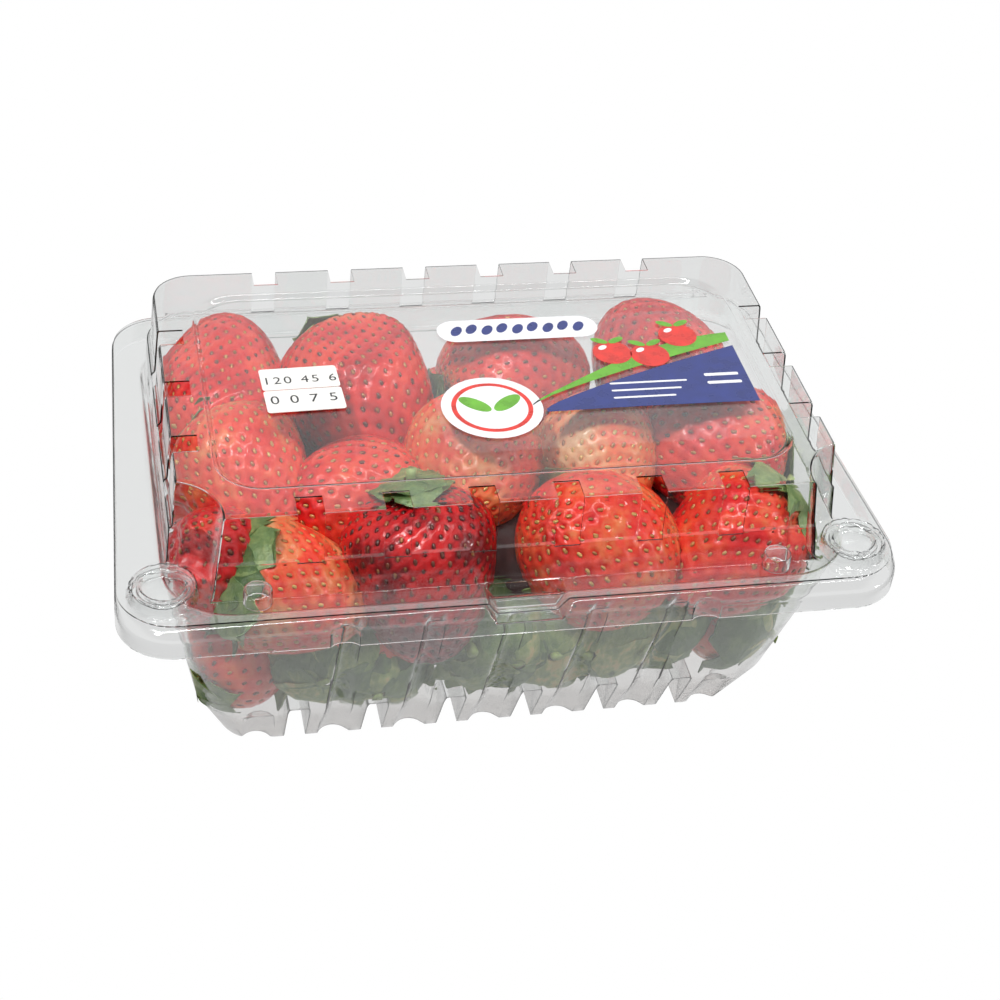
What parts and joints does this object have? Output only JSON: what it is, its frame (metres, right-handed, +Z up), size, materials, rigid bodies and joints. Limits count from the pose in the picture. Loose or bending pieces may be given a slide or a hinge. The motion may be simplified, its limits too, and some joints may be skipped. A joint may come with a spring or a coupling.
{
  "type": "punnet of strawberries",
  "caption": "Shut clear plastic punnet with ribbed feet, wide rim, hinged snap lid, film label and price sticker, filled with red strawberries and their leaves.",
  "frame": {"origin": "underside of the middle foot, on the ground, halfway between the pack's two ends", "axes": "+X along the long front, +Y from the front towards the hinge at the back, +Z up out of the lid"},
  "size_m": [0.188, 0.1293, 0.09],
  "materials": {
    "clear_plastic": "clear, glossy, formed sheet",
    "lid_plastic": "clear, glossy, formed sheet",
    "label_film": "printed film, satin gloss",
    "sticker_paper": "coated paper",
    "berry_skin": "moist fruit skin, glossy, with pale seeds and green leaves"
  },
  "bodies": {
    "tub": {"tub": "clear_plastic", "berries": "berry_skin"},
    "lid": {"lid": "lid_plastic", "film_label": "label_film", "price_sticker": "sticker_paper"}
  },
  "joints": [
    {"name": "lid_hinge", "type": "hinge", "parent": "tub", "child": "lid", "pos_m": [0, 0.0633, 0.0671], "axis": [-1, 0, 0], "range_deg": [0, 180]}
  ]
}
